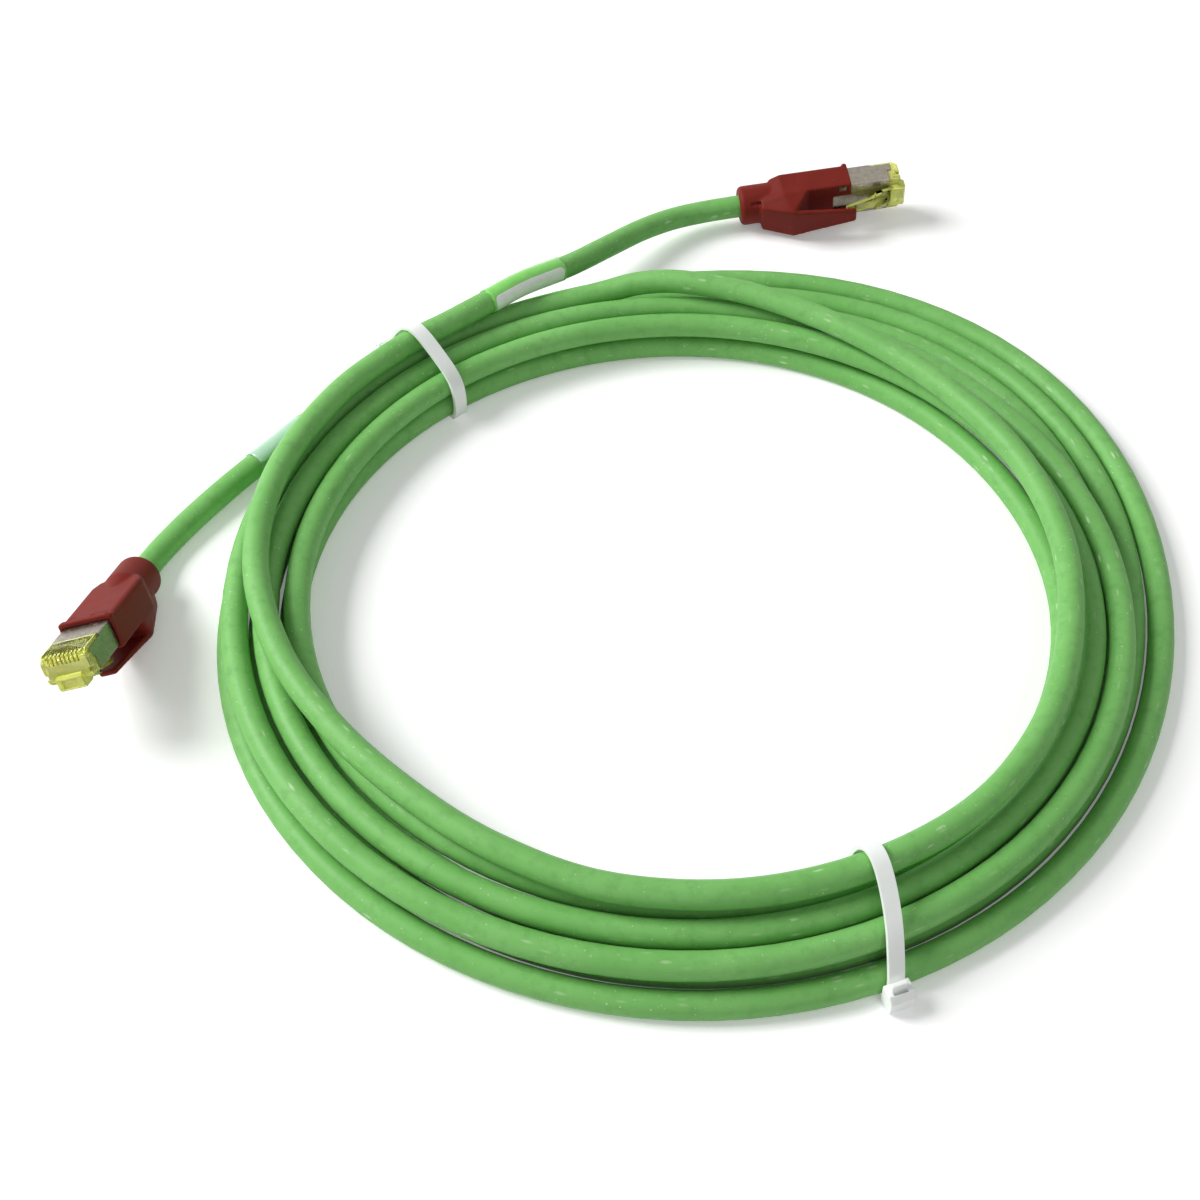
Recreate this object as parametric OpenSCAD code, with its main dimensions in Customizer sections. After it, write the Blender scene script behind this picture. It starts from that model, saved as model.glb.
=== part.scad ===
// Shielded ethernet patch cable, coiled and tied, with a latching 8-way plug
// on each end. Millimetres, Z up, resting on Z = 0.

/* [Cord] */
// Outer diameter of the cord's jacket
cord_d = 6.2; // [5.8:0.1:6.6]
// Radius of the innermost turn's centreline
coil_r = 86.4; // [82:0.2:95]
// Clear space left between neighbouring turns
turn_gap = 0.45; // [0.42:0.01:0.8]
// How far the coil is from round, across its length
oval = 1.2; // [0:0.1:3]
// How far the outer lower turns stray outwards at the rear right
fan = 14.6; // [0:0.2:16]
// Extra spread of all turns on the front left, for each turn
sag = 0.7; // [0:0.1:2]

/* [Cable ties] */
// Width of a tie's strap
strap_w = 3.6; // [2.5:0.1:5]
// Thickness of a tie's strap
strap_t = 1.0; // [0.8:0.1:1.3]
// Width of a tie's head across the strap
head_w = 5.7; // [5:0.1:8]
// Height of a tie's head
head_h = 5.8; // [4:0.1:8]
// Depth of a tie's head, out from the strap
head_t = 4.2; // [3:0.1:6]
// Length of the cut-off strap end past the head
stub_len = 1.6; // [0.5:0.1:5]

/* [Labels] */
// Length of the wrapped label near plug B
label_b_len = 26; // [15:1:34]
// Length of the wrapped label near plug A
label_a_len = 17; // [10:1:18]
// Distance from boot B's end of the jacket to that label's far edge
label_b_at = 89; // [80:1:100]
// Distance from boot A's end of the jacket to that label's near edge
label_a_at = 45; // [42:1:48]
// Thickness of a wrapped label
label_t = 0.2; // [0.15:0.05:0.3]

/* [Plug] */
// Width of the plug over its shield
plug_w = 11.68; // [11.4:0.02:11.8]
// Height of the plug over its shield, without the latch
plug_h = 6.6; // [6.4:0.05:6.7]
// Length of the plug's body
plug_len = 21.5; // [20:0.1:24]
// Thickness of the shield's sheet metal
shield_t = 0.25; // [0.2:0.01:0.3]
// Bare plastic in front of the shield on the latch side
nose_len = 3.3; // [2.5:0.1:5]
// Bare plastic in front of the shield on the contact side
face_len = 7.8; // [7.2:0.1:9]
// Distance between neighbouring contacts
contact_pitch = 1.02; // [0.98:0.01:1.06]
// Thickness of one contact blade
contact_t = 0.35; // [0.25:0.05:0.4]
// Length of one contact blade
contact_len = 5.4; // [4:0.1:6]
// Depth of the contacts below the plug's face
contact_sink = 0.6; // [0.4:0.05:0.8]

/* [Latch] */
// Width of the latch at its root
latch_w = 6.2; // [5.6:0.1:6.6]
// Width of the latch's finger tab
tab_w = 3.2; // [2.6:0.1:3.6]
// Length of the latch from its hinge to its tip
latch_len = 13.4; // [11:0.1:14]
// Length of the wide part of the latch
latch_wide = 4.6; // [3:0.1:6]
// Thickness of the latch
latch_t = 0.9; // [0.7:0.05:1.1]
// Radius of the hinge bead at the latch's root
bead_r = 0.6; // [0.5:0.05:0.7]
// Angle that the latch stands off the plug
latch_rise = 13; // [10:0.5:14]

/* [Boot] */
// Outer diameter of the boot's neck
neck_d = 10.9; // [9.6:0.1:11.8]
// Length of the boot's neck
neck_len = 7.6; // [5:0.1:10]
// Wall of the boot beside the plug
boot_side = 0.8; // [0.5:0.05:1]
// Wall of the boot above and below the plug
boot_wall = 0.75; // [0.6:0.05:1.1]
// Length of the boot from its neck's rear to its lip
boot_len = 31.3; // [29:0.1:33]
// Depth of the latch guard, from the plug's axis
guard_depth = 10.1; // [9.7:0.1:10.5]
// Distance from the boot's rear to where the guard starts
guard_start = 5.6; // [5:0.1:7]
// Distance from the boot's rear to the guard's widest point
guard_peak = 14; // [12:0.1:16]
// Half width of the guard at its widest point
guard_wide = 4.5; // [3.6:0.1:4.8]
// Half width of the guard's tip
guard_narrow = 2.1; // [1.8:0.1:2.6]
// Thickness of the guard's finger
finger_t = 1.5; // [1.2:0.1:1.6]
// How far the guard's finger reaches past the lip
finger_out = 0.6; // [0:0.1:2]

/* [Hidden] */

fit_gap = 0.1;          // clearance where one rigid piece seats in another
free_gap = 0.9;         // clearance beside what moves
cord_gap = 0.2;         // clearance between the cord and its boots or labels
tie_gap = 0.35;         // clearance between the cord and its ties
eps = 0.01;
room = 400;             // more than the whole reaches from its centre

// ---- the coil ----
cord_r = cord_d / 2;
rear_left = [-53.387, 33.537];  // the innermost turn's circle passes here
pitch = cord_d + turn_gap;
layer = cord_d + turn_gap;
rings_per_turn = 24;
turns = 146 / rings_per_turn;
turn_in = 3.5;          // the turn at which the spiral reverses
climb = 0.5;            // turns taken to climb one layer
start_angle = 140;
coil_centre = rear_left - coil_r * [cos(start_angle), sin(start_angle)];
fan_angle = 50;
fan_power = 7;
fan_turns = 1.2;        // turns from the innermost one to those that stray
sag_angle = 225;
sag_power = 3;
floor_z = cord_r - cord_d / 10;
coil_sides = 6;
tail_sides = 8;

function ease(x) = x <= 0 ? 0 : x >= 1 ? 1 : x * x * (3 - 2 * x);
function lobe(a, at, power) = pow((1 + cos(a - at)) / 2, power);
function angle_at(t) = start_angle - 360 * t;
function lift_at(t) = ease((t - turn_in) / climb + 0.5);
function radius_at(t) = let (a = angle_at(t), u = abs(t - turn_in))
    coil_r + oval * cos(2 * a) + (pitch + sag * lobe(a, sag_angle, sag_power)) * u
    + fan * lobe(a, fan_angle, fan_power) * ease(u / fan_turns) * (1 - lift_at(t));
function height_at(t) = floor_z + layer * lift_at(t);
function polar(a, r, z) = [coil_centre.x + r * cos(a), coil_centre.y + r * sin(a), z];
function coil_at(t) = polar(angle_at(t), radius_at(t), height_at(t));
function unit(v) = v / norm(v);
function coil_dir(t) = unit(coil_at(t + 0.001) - coil_at(t - 0.001));

coil_rings = round(turns * rings_per_turn);
lead = cord_d;
coil_first = coil_at(0) - lead * coil_dir(0);
coil_last = coil_at(turns) + lead * coil_dir(turns);
coil_line = concat([coil_first],
    [for (i = [0 : coil_rings]) coil_at(i / rings_per_turn)], [coil_last]);

// ---- where the plugs lie: position of the boot's rear, then rotation ----
pose_a = [[-116, -16.2, 5.2], [21, -22.5, -98.5]];
pose_b = [[32, 120.6, 6.25], [-83, -4.5, 7]];

function turn_x(p, a) = [p.x, p.y * cos(a) - p.z * sin(a), p.y * sin(a) + p.z * cos(a)];
function turn_y(p, a) = [p.x * cos(a) + p.z * sin(a), p.y, p.z * cos(a) - p.x * sin(a)];
function turn_z(p, a) = [p.x * cos(a) - p.y * sin(a), p.x * sin(a) + p.y * cos(a), p.z];
function turned(p, r) = turn_z(turn_y(turn_x(p, r.x), r.y), r.z);
function placed(p, pose) = pose[0] + turned(p, pose[1]);

// ---- along a plug, from the boot's rear (X = 0) to its nose ----
nose_x = boot_len + 14.1;
body_x = nose_x - plug_len;         // rear of the plug's body
shield_x = body_x - 1.4;            // rear of the shield
jacket_x = 11.5;                    // end of the cord's jacket
bar_x = body_x + 2.1;
bundle_x = bar_x - 6;               // end of the foil round the pairs
bar_len = 5;
body_w = plug_w - 2 * shield_t - 2 * fit_gap;
body_h = plug_h - 2 * shield_t - 2 * fit_gap;
wire_r = 0.42;
wire_row = 0.6;
wire_step = 0.9;
wire_end = nose_x - 1.6;
foil_r = 2.2;
foil_t = 0.15;
braid_t = 0.4;
clamp_t = 0.5;
boot_half_w = plug_w / 2 + boot_side;
boot_half_h = plug_h / 2 + boot_wall;

// ---- the last turn and the tails ----
// Last turn, lying on the third level: angle, distance out from coil_r and
// distance below that level.
third = floor_z + 2 * layer + 0.1;
last_turn = [[101, 16.4, 5.6], [95, 15.4, 2.6], [88, 12.8, 0.5], [76, 9, 0],
    [60, 4.6, 0], [42, 2.2, 0], [24, 1.9, 0], [6, 1.6, 0], [-12, 1.1, 0], [-30, 2, 0],
    [-48, 2.6, 0], [-66, 1.9, 0], [-84, 1.7, 0], [-102, 1.7, 0], [-118, 0.9, 0],
    [-133, 1, 0], [-149, 3.8, 0], [-165, 8.6, 0], [-181, 13.2, 0], [-197, 15.6, 0],
    [-213, 16, 0], [-226, 15.6, 0], [-235, 15.4, 0], [-242, 17.2, 0],
    [-248, 21.2, 1.2]];
tail_b_points = [[-15.2, 88.8, 11.6], [-4.4, 99.8, 9.3], [4.2, 108.2, 7.7],
    [12.8, 114.6, 6.4], [21.6, 118.6, 5.7]];
tail_a_points = [[-115, -11.8, 3.7], [-113.8, -8.1, 3], [-112, -4.3, 2.7],
    [-107.8, 2.6, 2.8], [-102.9, 9.5, 3.1], [-97.6, 16.3, 3.5], [-92.6, 22.5, 3.6],
    [-87.7, 28.6, 3.6], [-82.7, 35.1, 3.6]];

tail_b_knots = concat([coil_last],
    [for (p = last_turn) polar(p[0], coil_r + p[1], third - p[2])],
    tail_b_points, [placed([0, 0, 0], pose_b)]);
tail_a_knots = concat([placed([0, 0, 0], pose_a)], tail_a_points, [coil_first]);

function spline(a, b, c, d, s) = 0.5 * (2 * b + (c - a) * s
    + (2 * a - 5 * b + 4 * c - d) * s * s + (3 * b - a - 3 * c + d) * s * s * s);
// Points between the knots, two to a span; before and after are the points that
// the line comes from and goes to.
function through(k, before, after) = let (n = len(k) - 1) concat(
    [for (i = [0 : n - 1], s = [0, 0.5])
        spline(i == 0 ? before : k[i - 1], k[i], k[i + 1],
            i == n - 1 ? after : k[i + 2], s)], [k[n]]);
tail_b_line = concat(
    through(tail_b_knots, coil_at(turns), placed([jacket_x, 0, 0], pose_b)),
    [placed([jacket_x, 0, 0], pose_b)]);
tail_a_line = concat([placed([jacket_x, 0, 0], pose_a)],
    through(tail_a_knots, placed([jacket_x, 0, 0], pose_a), coil_at(0)));

function line_len(l) = len(l) < 2 ? 0 : sumup([for (i = [1 : len(l) - 1])
    norm(l[i] - l[i - 1])]);
function sumup(v, i = 0) = i >= len(v) ? 0 : v[i] + sumup(v, i + 1);
function gap_within(l, skip) = min([for (i = [0 : len(l) - 1 - skip],
    j = [i + skip : len(l) - 1]) norm(l[i] - l[j])]) - cord_d;
function gap_between(l, m) = min([for (p = l, q = m) norm(p - q)]) - cord_d;
fine = [for (i = [0 : 4 * coil_rings]) coil_at(i / rings_per_turn / 4)];
loop_b = [for (i = [4 : len(tail_b_line) - 1]) tail_b_line[i]];
union() {  // cord_coil
    echo(coil_gap_to_itself = gap_within(fine, 60));
    echo(last_turn_gap_to_coil = gap_between(loop_b, fine));
    echo(last_turn_gap_to_itself = gap_within(tail_b_line, 12));
    echo(tail_a_gap_to_last_turn = gap_between(tail_a_line, tail_b_line));
    echo(lengths = [line_len(tail_a_line), line_len(fine) + 2 * lead,
        line_len(tail_b_line)]);
}

// A tube swept along a line of points, with the given direction at each end.
function side_of(t) = unit(cross(t, [0, 0, 1]));
function ring(p, t, r, n) = let (s = side_of(t), u = cross(s, t))
    [for (k = [0 : n - 1]) p + r * (cos(360 * k / n) * s + sin(360 * k / n) * u)];
module tube(line, r, n, first, last) {
    m = len(line);
    dirs = [for (i = [0 : m - 1]) i == 0 ? first : i == m - 1 ? last
        : unit(unit(line[i + 1] - line[i]) + unit(line[i] - line[i - 1]))];
    points = [for (i = [0 : m - 1]) each ring(line[i], dirs[i], r, n)];
    walls = [for (i = [0 : m - 2], k = [0 : n - 1]) let (a = i * n + k,
        b = i * n + (k + 1) % n) each [[a, b, a + n], [b, b + n, a + n]]];
    ends = [for (k = [1 : n - 2]) each [[0, k + 1, k],
        [(m - 1) * n, (m - 1) * n + k, (m - 1) * n + k + 1]]];
    polyhedron(points, concat(walls, ends), convexity = 8);
}
module above_floor() {
    difference() {
        children();
        translate([-room, -room, -room])
            cube([2 * room, 2 * room, room]);
    }
}

module cord_coil() {
    color("limegreen")
        difference() {
            above_floor()
                tube(coil_line, cord_r, coil_sides, coil_dir(0), coil_dir(turns));
            tie_seat(rear_angle);
            tie_seat(front_angle);
        }
}
module cord_tail_a() {
    color("limegreen")
        above_floor()
            tube(tail_a_line, cord_r, tail_sides,
                -unit(turned([1, 0, 0], pose_a[1])), coil_dir(0));
}
module cord_tail_b() {
    color("limegreen")
        tube(tail_b_line, cord_r, tail_sides, coil_dir(turns),
            unit(turned([1, 0, 0], pose_b[1])));
}

// ---- labels, wrapped round the tails ----
label_in = cord_r + cord_gap;
function stretch(line, from, len) = let (n = 8) [for (i = [0 : n])
    walk(line, from + len * i / n)];
function walk(line, s, i = 1) = let (d = norm(line[i] - line[i - 1]))
    s <= d || i == len(line) - 1 ? line[i - 1] + (line[i] - line[i - 1]) * s / d
    : walk(line, s - d, i + 1);
module label(line, from, len) {
    mid = stretch(line, from, len);
    cut = stretch(line, from - 2, len + 4);
    m = len(mid) - 1;
    difference() {
        tube(mid, label_in + label_t, 12, unit(mid[1] - mid[0]),
            unit(mid[m] - mid[m - 1]));
        tube(cut, label_in, 12, unit(cut[1] - cut[0]), unit(cut[m] - cut[m - 1]));
    }
}
label_b_from = line_len(tail_b_line) - jacket_x - label_b_at;
label_a_from = jacket_x + label_a_at;
module label_a() {
    color("white")
        label(tail_a_line, label_a_from, label_a_len);
}
module label_b() {
    color("white")
        label(tail_b_line, label_b_from, label_b_len);
}

// ---- cable ties round the bundle ----
rear_angle = 132;
front_angle = 291;
// Where a line crosses the upright plane at an angle round the coil, as distance
// from the coil's axis and height, in the line's own order.
function across(p, a) = (p.y - coil_centre.y) * cos(a) - (p.x - coil_centre.x) * sin(a);
function along(p, a) = (p.x - coil_centre.x) * cos(a) + (p.y - coil_centre.y) * sin(a);
function crossings(l, a) = [for (i = [1 : len(l) - 1])
    let (u = across(l[i - 1], a), v = across(l[i], a), q = l[i - 1]
        + (l[i] - l[i - 1]) * u / (u - v))
    if (u > 0 && v <= 0 && along(q, a) > 0) [along(q, a), q.z]];
function normal_to(a, b) = let (d = unit(b - a)) atan2(-d.x, d.y);
// A band round circles of radius k whose centres go round the bundle in order.
function band(c, k) = let (n = len(c)) [for (i = [0 : n - 1])
    let (p = c[(i + n - 1) % n], q = c[(i + 1) % n], a0 = normal_to(p, c[i]),
        a1 = normal_to(c[i], q), da = (a1 - a0 + 720) % 360,
        steps = max(1, ceil(da / 20)), rr = k / cos(da / steps / 2))
    for (j = [0 : steps - 1]) let (a = a0 + da * (j + 0.5) / steps)
        c[i] + rr * [cos(a), sin(a)]];
module above(z) {
    intersection() {
        children();
        translate([0, z])
            square([room, room]);
    }
}
rear_turns = crossings(coil_line, rear_angle);
front_turns = crossings(coil_line, front_angle);
rear_ring = [rear_turns[3], rear_turns[0], crossings(tail_b_line, rear_angle)[0],
    rear_turns[4]];
front_ring = [front_turns[2], front_turns[0], front_turns[5],
    crossings(tail_b_line, front_angle)[0], front_turns[3]];
module in_plane(a) {
    translate([coil_centre.x, coil_centre.y, 0])
        rotate([0, 0, a])
            rotate([90, 0, 0])
                children();
}
module tie_seat(a) {
    translate([coil_centre.x, coil_centre.y, 0])
        rotate([0, 0, a])
            translate([coil_r - 12, -strap_w / 2 - cord_gap, -1])
                cube([50, strap_w + 2 * cord_gap, 1 + strap_t + cord_gap / 2]);
}
module tie(a, c) {
    k = cord_r + tie_gap;
    out_x = max([for (p = band(c, k)) p.x]) + strap_t;
    in_plane(a) {
        translate([0, 0, -strap_w / 2])
            linear_extrude(strap_w)
                difference() {
                    above(0)
                        polygon(band(c, k + strap_t));
                    above(strap_t)
                        polygon(band(c, k));
                }
        translate([out_x - strap_t, 0, -head_w / 2])
            linear_extrude(head_w)
                polygon([[0, 0], [head_t - 0.9, 0], [head_t, 1.2],
                    [head_t, head_h - 1.5], [head_t - 1.3, head_h], [0, head_h]]);
        translate([out_x, head_h - eps, -strap_w / 2])
            cube([strap_t, stub_len, strap_w]);
    }
}
module tie_rear() {
    color("ivory")
        tie(rear_angle, rear_ring);
}
module tie_front() {
    color("ivory")
        tie(front_angle, front_ring);
}

// ---- the plug's pieces, X towards the nose, Z towards the contacts ----
module box_at(x0, x1, y, z0, z1) {
    translate([x0, -y, z0])
        cube([x1 - x0, 2 * y, z1 - z0]);
}
// An outline given by one half of it, mirrored across the plug's middle.
module mirrored(half) {
    polygon(concat(half, [for (i = [len(half) - 1 : -1 : 0]) [half[i].x, -half[i].y]]));
}
module rod(x0, x1, r) {
    translate([x0, 0, 0])
        rotate([0, 90, 0])
            cylinder(h = x1 - x0, r = r, $fn = 48);
}

inner_h = plug_h / 2 + fit_gap;
inner_w = plug_w / 2 + fit_gap;
finger_in = guard_depth - finger_t;
finger_x = boot_len + finger_out;
pocket_x = guard_peak + 1.2;    // rear end of the pockets beside the finger
gap_x = guard_peak + 5;
slot_len = 5;
slot_w = tab_w / 2 + free_gap;
window_w = 1.6;
window_y = inner_w - window_w / 2;
window_x = boot_len - 3.6;
module boot() {
    color("brown")
        difference() {
            union() {
                rod(0, neck_len + 4, neck_d / 2);
                // body, with its rear corners cut off
                translate([0, 0, -boot_half_h])
                    linear_extrude(2 * boot_half_h)
                        mirrored([[neck_len, boot_half_w - 1.2],
                            [neck_len + 3.2, boot_half_w], [boot_len, boot_half_w]]);
                // rim along the lip on the contact side
                box_at(boot_len - 1.4, boot_len, boot_half_w,
                    boot_half_h - eps, boot_half_h + 0.4);
                guard();
            }
            // bore for the cord, then room for the crimp and for the plug
            rod(-1, neck_len + 6, cord_r + cord_gap);
            rod(neck_len + 3.4, shield_x - 1, clamp_r + fit_gap);
            box_at(shield_x - 2.2, boot_len + 1, inner_w, -inner_h, inner_h);
            // slot behind the lip that the latch can be seen through
            box_at(boot_len - slot_len, boot_len + 1, slot_w,
                -boot_half_h - eps, 0);
            // windows for the shield's tabs
            for (s = [-1, 1])
                translate([window_x, s * window_y - window_w / 2, -boot_half_h - 1])
                    cube([2.4, window_w, boot_half_h]);
            // slots in the neck
            for (s = [-1, 1])
                translate([3, s * neck_d / 2 - 0.5, -0.3])
                    cube([3, 1, 0.6]);
        }
}
// Hood over the latch: its flanks run out into the body's sides, then a finger
// reaches forward with a pocket on each side.
module guard() {
    intersection() {
        translate([0, 0, -guard_depth])
            linear_extrude(guard_depth)
                mirrored([[guard_start, guard_wide], [neck_len + 3.2, boot_half_w],
                    [guard_peak + 0.6, boot_half_w], [pocket_x, guard_wide],
                    [finger_x, guard_narrow]]);
        rotate([90, 0, 0])
            translate([0, 0, -boot_half_w])
                linear_extrude(2 * boot_half_w)
                    polygon([[guard_start, -3.6], [guard_start, -neck_d / 2 - 0.8],
                        [guard_peak, -guard_depth],
                        [finger_x - 0.4, -guard_depth + 0.1],
                        [finger_x, -guard_depth + 0.6], [finger_x, -finger_in],
                        [pocket_x, -finger_in], [gap_x, -boot_half_h], [gap_x, -3.6]]);
        rotate([90, 0, 90])
            linear_extrude(finger_x + 1)
                polygon([[-boot_half_w, -3], [-boot_half_w, -boot_half_h],
                    [-guard_wide, -guard_depth], [guard_wide, -guard_depth],
                    [boot_half_w, -boot_half_h], [boot_half_w, -3]]);
    }
}

clamp_in = foil_r + foil_t + braid_t + 2 * fit_gap;
clamp_r = clamp_in + clamp_t;
module shield() {
    color("silver")
        difference() {
            union() {
                difference() {
                    box_at(shield_x, nose_x - 0.8, plug_w / 2, -plug_h / 2, plug_h / 2);
                    box_at(shield_x + shield_t, nose_x, plug_w / 2 - shield_t,
                        -plug_h / 2 + shield_t, plug_h / 2 - shield_t);
                    // open round the nose and over the contacts
                    box_at(nose_x - nose_len, nose_x, plug_w / 2 - shield_t,
                        -plug_h, 0);
                    box_at(nose_x - face_len, nose_x, plug_w / 2 - shield_t,
                        0, plug_h);
                }
                // tabs that show in the boot's windows
                for (s = [-1, 1])
                    translate([window_x + 0.4, s * window_y - window_w / 2 + 0.3,
                            -plug_h / 2 - 0.4])
                        cube([1.6, window_w - 0.6, 0.4 + eps]);
            }
            // way in for the pairs
            box_at(shield_x - 1, shield_x + 1, 3.5 * contact_pitch, -wire_row - 1,
                wire_row + 1);
        }
}
module clamp() {
    color("lightgray")
        difference() {
            union() {
                rod(jacket_x + 0.6, shield_x - 1.4, clamp_r);
                box_at(shield_x - 2.4, shield_x, 1, -clamp_r + 0.15,
                    -clamp_r + 0.15 + clamp_t);
            }
            rod(jacket_x, shield_x, clamp_in);
        }
}
module braid() {
    color("gray")
        difference() {
            rod(jacket_x, shield_x - 2.6, foil_r + foil_t + fit_gap + braid_t);
            rod(jacket_x - 1, shield_x, foil_r + foil_t + fit_gap);
        }
}
module foil() {
    color("gainsboro")
        difference() {
            rod(jacket_x, bundle_x, foil_r + foil_t);
            rod(jacket_x - 1, bundle_x + 1, foil_r);
        }
}

function pin_y(i) = (i - 3.5) * contact_pitch;
function pin_z(i) = (i % 2 == 0 ? 1 : -1) * wire_row;
function bundle_y(i) = (floor(i / 2) - 1.5) * wire_step;
module wire(i) {
    line = [[jacket_x, bundle_y(i), pin_z(i)], [bundle_x, bundle_y(i), pin_z(i)],
        [bar_x, pin_y(i), pin_z(i)], [wire_end, pin_y(i), pin_z(i)]];
    tube(line, wire_r, 10, [1, 0, 0], [1, 0, 0]);
}
module pair(a, b, shade) {
    color(shade) {
        wire(a);
        wire(b);
    }
}

wire_hole = wire_r + 0.05;
module load_bar() {
    color("white")
        difference() {
            box_at(bar_x + 0.6, bar_x + 0.6 + bar_len, bar_half_w, -bar_half_h,
                bar_half_h);
            for (i = [0 : 7])
                translate([0, pin_y(i), pin_z(i)])
                    rod(bar_x - 1, bar_x + bar_len + 2, wire_hole);
        }
}
bar_half_w = 4 * contact_pitch + 0.3;
bar_half_h = wire_row + wire_r + 0.5;
cavity_end = bar_x + bar_len + 1.2;

contact_low = wire_row + wire_r + 0.1;
contact_top = plug_h / 2 - contact_sink;
contact_x = nose_x - 0.7 - contact_len;
bead_x = nose_x - nose_len + 0.4;
bead_z = -plug_h / 2 - 0.85;
lug_low = plug_h / 2 + 1.65;
module housing() {
    color("greenyellow")
        difference() {
            union() {
                box_at(body_x, nose_x - 0.6, body_w / 2, -body_h / 2, body_h / 2);
                // nose, full size where the shield leaves it bare
                box_at(nose_x - nose_len + fit_gap, nose_x - 0.8 + fit_gap,
                    plug_w / 2 - shield_t - fit_gap, -plug_h / 2, 0);
                box_at(nose_x - face_len + fit_gap, nose_x - 0.8 + fit_gap,
                    plug_w / 2 - shield_t - fit_gap, 0, plug_h / 2);
                box_at(nose_x - 0.8 + fit_gap, nose_x, plug_w / 2, -plug_h / 2,
                    plug_h / 2);
                // lug that carries the latch's root
                box_at(bead_x, nose_x + 1.2, latch_w / 2, -lug_low, -plug_h / 2 + 1);
            }
            // cavity for the load bar, then a bore for each wire
            box_at(body_x - 1, cavity_end, bar_half_w + fit_gap,
                -bar_half_h - fit_gap, bar_half_h + fit_gap);
            for (i = [0 : 7])
                translate([0, pin_y(i), pin_z(i)])
                    rod(cavity_end - 1, wire_end + 0.3, wire_hole);
            // slots for the contacts
            for (i = [0 : 7])
                translate([contact_x - fit_gap, pin_y(i) - contact_t / 2 - 0.05,
                        contact_low - 0.05])
                    cube([contact_len + 2, contact_t + 0.1, plug_h]);
            // groove that the latch's bead turns in
            translate([bead_x, latch_w / 2 + 1, bead_z])
                rotate([90, 0, 0])
                    cylinder(h = latch_w + 2, r = bead_r + 0.05, $fn = 48);
        }
}
module contacts() {
    color("gold")
        for (i = [0 : 7])
            translate([contact_x, pin_y(i) - contact_t / 2, contact_low])
                cube([contact_len, contact_t, contact_top - contact_low]);
}
module latch() {
    color("greenyellow")
        translate([bead_x, 0, bead_z])
            rotate([0, -latch_rise, 0]) {
                translate([0, latch_w / 2 - fit_gap, 0])
                    rotate([90, 0, 0])
                        cylinder(h = latch_w - 2 * fit_gap, r = bead_r, $fn = 48);
                translate([0, 0, -latch_t / 2])
                    linear_extrude(latch_t)
                        mirrored([[0, latch_w / 2 - fit_gap],
                            [-latch_wide, latch_w / 2 - fit_gap],
                            [-latch_wide, tab_w / 2 + 0.6],
                            [-latch_wide - 1.4, tab_w / 2], [-latch_len, tab_w / 2]]);
            }
}

// ---- both plugs in place ----
module at_a() {
    translate(pose_a[0])
        rotate(pose_a[1])
            children();
}
module at_b() {
    translate(pose_b[0])
        rotate(pose_b[1])
            children();
}

cord_coil();
cord_tail_a();
cord_tail_b();
label_a();
label_b();
tie_rear();
tie_front();

at_a() boot();  // boot_a
at_a() housing();  // housing_a
at_a() latch();  // latch_a
at_a() shield();  // shield_a
at_a() contacts();  // contacts_a
at_a() load_bar();  // load_bar_a
at_a() clamp();  // clamp_a
at_a() braid();  // braid_a
at_a() foil();  // foil_a
at_a() pair(0, 1, "orange");  // pair_orange_a
at_a() pair(2, 5, "green");  // pair_green_a
at_a() pair(3, 4, "blue");  // pair_blue_a
at_a() pair(6, 7, "sienna");  // pair_brown_a

at_b() boot();  // boot_b
at_b() housing();  // housing_b
at_b() latch();  // latch_b
at_b() shield();  // shield_b
at_b() contacts();  // contacts_b
at_b() load_bar();  // load_bar_b
at_b() clamp();  // clamp_b
at_b() braid();  // braid_b
at_b() foil();  // foil_b
at_b() pair(0, 1, "orange");  // pair_orange_b
at_b() pair(2, 5, "green");  // pair_green_b
at_b() pair(3, 4, "blue");  // pair_blue_b
at_b() pair(6, 7, "sienna");  // pair_brown_b
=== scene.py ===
import math

import bmesh
import bpy
from mathutils import Euler, Matrix, Vector


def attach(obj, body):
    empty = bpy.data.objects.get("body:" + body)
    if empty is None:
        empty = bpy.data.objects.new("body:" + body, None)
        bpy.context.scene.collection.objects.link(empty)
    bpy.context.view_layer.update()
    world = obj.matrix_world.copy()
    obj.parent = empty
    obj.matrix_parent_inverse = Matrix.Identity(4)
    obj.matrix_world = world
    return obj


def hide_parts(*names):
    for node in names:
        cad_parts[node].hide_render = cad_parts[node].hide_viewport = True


# Shielded ethernet patch cable: a tied coil of cord with a booted plug on each end.
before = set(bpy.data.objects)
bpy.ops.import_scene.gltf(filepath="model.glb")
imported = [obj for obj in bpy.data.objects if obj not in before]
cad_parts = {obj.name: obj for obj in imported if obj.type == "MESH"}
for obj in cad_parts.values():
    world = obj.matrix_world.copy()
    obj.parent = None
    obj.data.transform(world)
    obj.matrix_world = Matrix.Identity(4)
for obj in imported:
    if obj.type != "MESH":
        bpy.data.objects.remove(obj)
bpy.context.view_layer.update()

MM = 0.001


# ---- sizes, in millimetres and degrees ----

CORD_D = 6.2
CORD_R = CORD_D / 2
CORD_STEP = 1.9         # between the points of the cord's line

# The coil is a spiral that runs in on the floor and back out on the level above.
COIL_R = 86.4           # of its innermost turn
TURN_GAP = 0.45
PITCH = CORD_D + TURN_GAP
TURNS = 146 / 24
TURN_IN = 3.5           # the turn at which the spiral reverses
CLIMB = 0.5             # turns taken to climb one level
OVAL = 1.2              # how far the turns are from round
START_ANGLE = 140
REAR_LEFT = Vector((-53.387, 33.537))   # COIL_R from the centre, at START_ANGLE
FLOOR_Z = CORD_R - CORD_D / 10          # height of the cord's middle on the floor
CORD_TOP = 6                            # about the height of one level's top

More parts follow.
